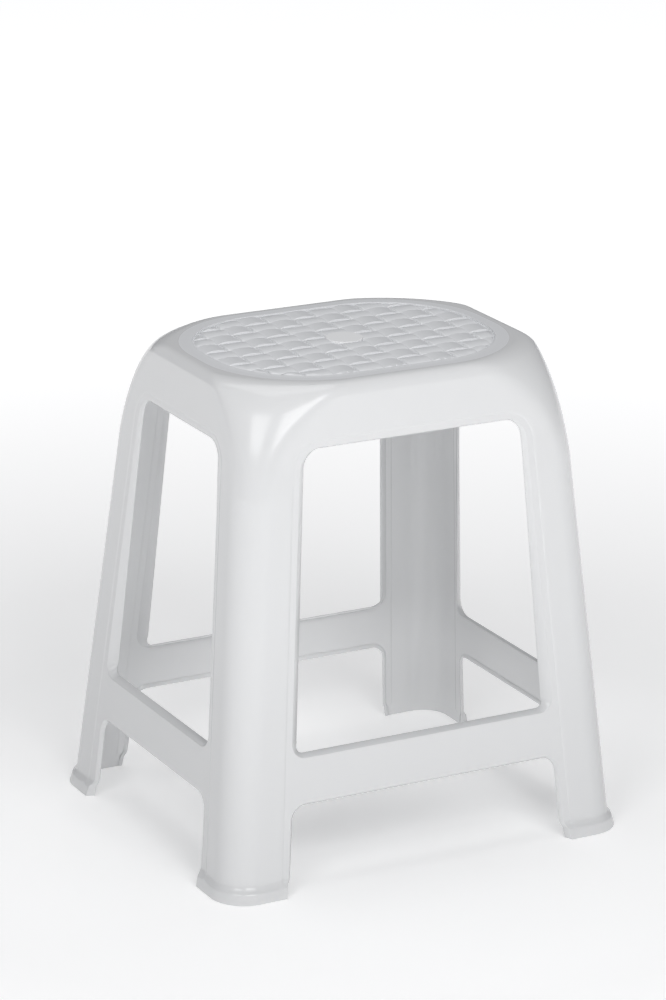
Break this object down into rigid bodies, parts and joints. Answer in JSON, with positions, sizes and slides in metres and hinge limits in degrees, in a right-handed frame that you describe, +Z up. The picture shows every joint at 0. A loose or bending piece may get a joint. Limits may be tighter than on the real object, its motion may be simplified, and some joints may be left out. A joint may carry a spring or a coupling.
{
  "type": "moulded plastic stool",
  "caption": "Free-standing one-piece moulded plastic stool: woven-pattern seat, splayed channel legs joined by low stretchers.",
  "frame": {"origin": "on the floor under the middle of the seat", "axes": "+Z up, X along the seat's long side, front face towards -Y"},
  "size_m": [0.4132, 0.3558, 0.4508],
  "materials": {
    "shell": "smooth white moulded polypropylene",
    "seat_top": "fine matt moulded grain, white with a cool tint"
  },
  "bodies": {
    "root": {"seat_panel": "seat_top", "centre_boss": "seat_top", "seat_rim": "seat_top", "front_apron": "shell", "front_stretcher": "shell", "back_apron": "shell", "back_stretcher": "shell", "left_apron": "shell", "left_stretcher": "shell", "right_apron": "shell", "right_stretcher": "shell", "shoulder_front_left": "shell", "leg_front_left": "shell", "foot_front_left": "shell", "shoulder_front_right": "shell", "leg_front_right": "shell", "foot_front_right": "shell", "shoulder_back_left": "shell", "leg_back_left": "shell", "foot_back_left": "shell", "shoulder_back_right": "shell", "leg_back_right": "shell", "foot_back_right": "shell"}
  },
  "joints": []
}
